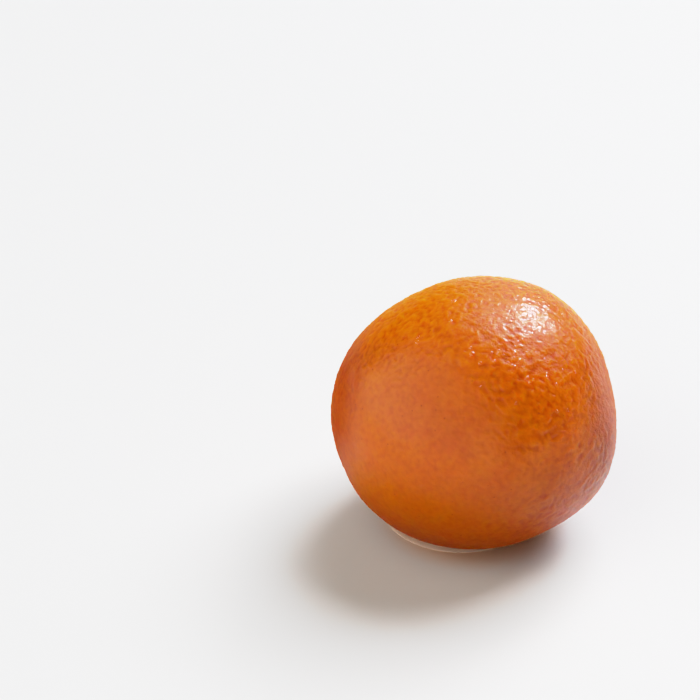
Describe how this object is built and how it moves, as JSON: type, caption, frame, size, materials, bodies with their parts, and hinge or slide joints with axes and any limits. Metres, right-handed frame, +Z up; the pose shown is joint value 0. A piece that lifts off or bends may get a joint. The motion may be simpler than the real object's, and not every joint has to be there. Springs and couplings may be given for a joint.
{
  "type": "gulab jamun",
  "caption": "Round syrup-soaked fried milk-dough sweet: a slightly squashed ball with a thin wrinkled glossy skin, resting on a small flat spot.",
  "frame": {"origin": "on the surface that the ball rests on, under the middle of its bounding box", "axes": "+Z up from the flat spot that it rests on; +X to the viewer's right along the widest way across; -Y towards the viewer"},
  "size_m": [0.0404, 0.0394, 0.0368],
  "materials": {
    "syrup_soaked_crust": "thin orange-brown fried skin, soaked and coated with clear sugar syrup, glossy over fine wrinkles and pores"
  },
  "bodies": {
    "root": {"gulab_jamun": "syrup_soaked_crust"}
  },
  "joints": []
}
